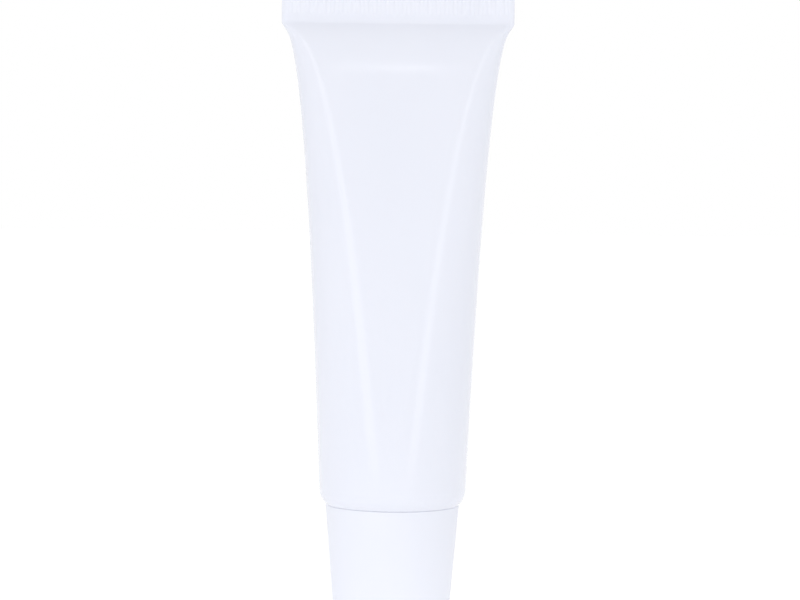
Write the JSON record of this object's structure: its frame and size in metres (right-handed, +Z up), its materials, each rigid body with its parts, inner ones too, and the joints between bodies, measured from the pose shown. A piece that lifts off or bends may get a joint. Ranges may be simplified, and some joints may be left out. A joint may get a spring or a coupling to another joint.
{
  "type": "lip balm tube",
  "caption": "White squeeze tube for lip balm with a flat ribbed seal at the top, a rounded shoulder and a tapered screw cap that it stands on.",
  "frame": {"origin": "centre of the cap's flat end, on the surface that the tube stands on", "axes": "+Z up along the tube's axis to the sealed tail; the tail is wide along X; the front in the picture faces -Y"},
  "size_m": [0.03, 0.019, 0.0816],
  "materials": {
    "sleeve_plastic": "semi-gloss",
    "head_plastic": "satin",
    "balm": "soft and waxy",
    "cap_plastic": "satin",
    "liner_foam": "soft foam"
  },
  "bodies": {
    "cap": {"cap": "cap_plastic"},
    "liner": {"cap_liner": "liner_foam"},
    "tube": {"tube_sleeve": "sleeve_plastic", "tube_head": "head_plastic", "balm_fill": "balm"}
  },
  "joints": [
    {"name": "tube_turn", "type": "hinge", "parent": "cap", "child": "liner", "pos_m": [0, 0, 0], "axis": [0, 0, 1], "range_deg": [0, 1080]},
    {"name": "tube_lift", "type": "slide", "parent": "liner", "child": "tube", "axis": [0, 0, 1], "range_m": [0, 0.0135]}
  ],
  "couplings": [
    {"joint": "tube_turn", "follows": "tube_lift", "rad_per_m": 1396.3}
  ]
}
